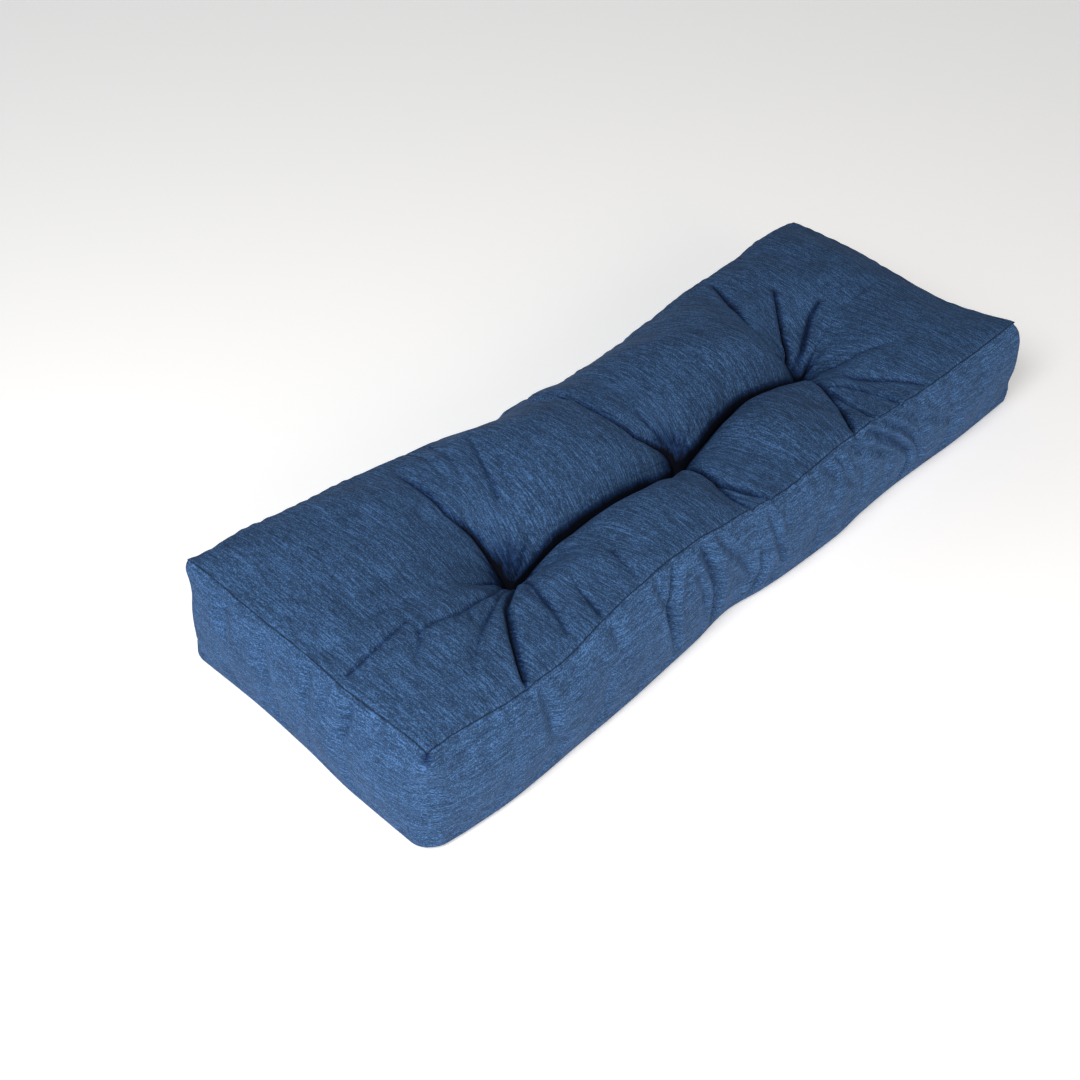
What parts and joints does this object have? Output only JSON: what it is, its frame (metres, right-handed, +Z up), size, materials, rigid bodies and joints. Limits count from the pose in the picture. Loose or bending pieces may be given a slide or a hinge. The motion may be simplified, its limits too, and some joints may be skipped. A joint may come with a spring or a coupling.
{
  "type": "pallet back cushion",
  "caption": "Long boxed back cushion for pallet seating, stuffed full and tufted along its middle, lying on its back.",
  "frame": {"origin": "middle of the cushion's outline on the surface that it lies on, in its flat back face", "axes": "+X along the length, from the end that is nearer in the picture; +Y across the width, from the near side to the far side; +Z up, out of the tufted face"},
  "size_m": [1.2332, 0.4494, 0.1758],
  "materials": {
    "blue_cloth": "woven polyester of mixed light, mid and dark blue yarns, matt with a faint sheen"
  },
  "bodies": {
    "root": {"cushion": "blue_cloth"}
  },
  "joints": []
}
